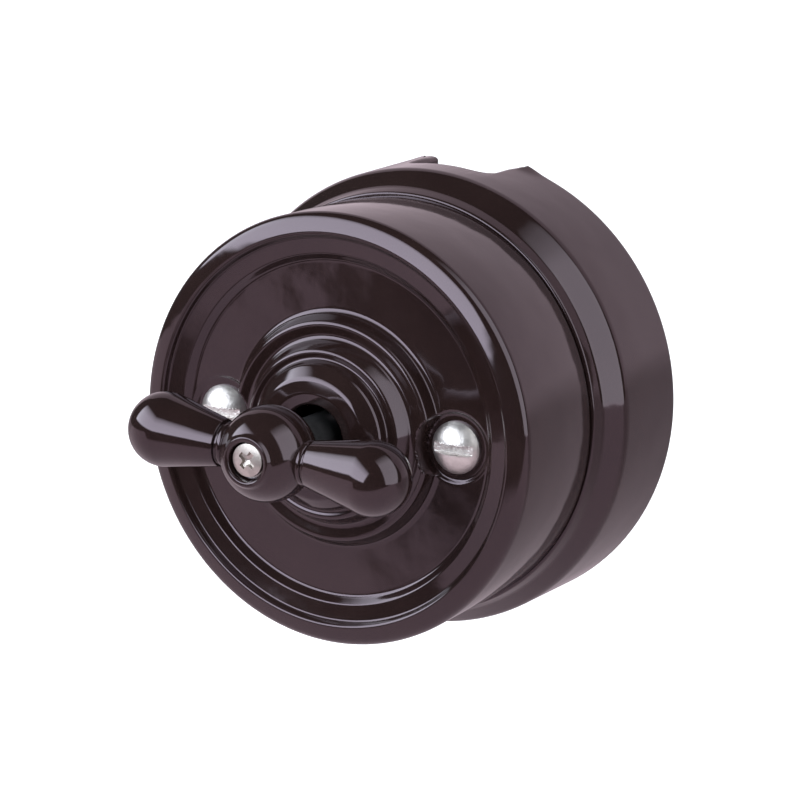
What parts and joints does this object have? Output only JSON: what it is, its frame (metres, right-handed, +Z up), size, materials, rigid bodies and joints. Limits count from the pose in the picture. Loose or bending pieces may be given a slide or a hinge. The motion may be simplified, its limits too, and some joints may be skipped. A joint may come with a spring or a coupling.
{
  "type": "surface-mounted rotary light switch",
  "caption": "Round glazed ceramic surface-mounted turn switch with a stepped cover, a two-winged knob, slotted cover screws and a top cable arch.",
  "frame": {"origin": "centre of the flat back of the base, where it lies on the wall", "axes": "+Y points into the wall, -Y out to the front along the spindle, +Z up towards the cable arch, +X right seen from the front"},
  "size_m": [0.0736, 0.0697, 0.0736],
  "materials": {
    "glaze": "dark brown gloss glaze",
    "nickel": "nickel plated, satin",
    "zinc_steel": "zinc plated",
    "black_plastic": "moulded, satin",
    "ivory_plastic": "moulded",
    "brass": "bright",
    "silver": "contact silver"
  },
  "bodies": {
    "housing": {"base": "glaze", "base_inserts": "brass", "cover": "glaze", "cover_screws": "nickel", "mounting_strap": "zinc_steel", "strap_screws": "zinc_steel", "switch_block": "black_plastic", "bearing_plate": "black_plastic", "block_screws": "zinc_steel", "thrust_washer": "zinc_steel", "detent_ball": "zinc_steel", "detent_spring": "zinc_steel", "contact_common": "brass", "contact_load_1": "brass", "contact_load_2": "brass", "contact_rivets": "silver", "terminal_blocks": "brass", "terminal_screws": "brass"},
    "turning": {"knob": "glaze", "knob_washer": "nickel", "knob_screw": "nickel", "spindle": "black_plastic", "spindle_clip": "zinc_steel", "cam_drum": "ivory_plastic", "rotor_contact": "brass"}
  },
  "joints": [
    {"name": "knob_turn", "type": "hinge", "parent": "housing", "child": "turning", "pos_m": [0, 0, 0], "axis": [0, -1, 0], "continuous": true}
  ]
}
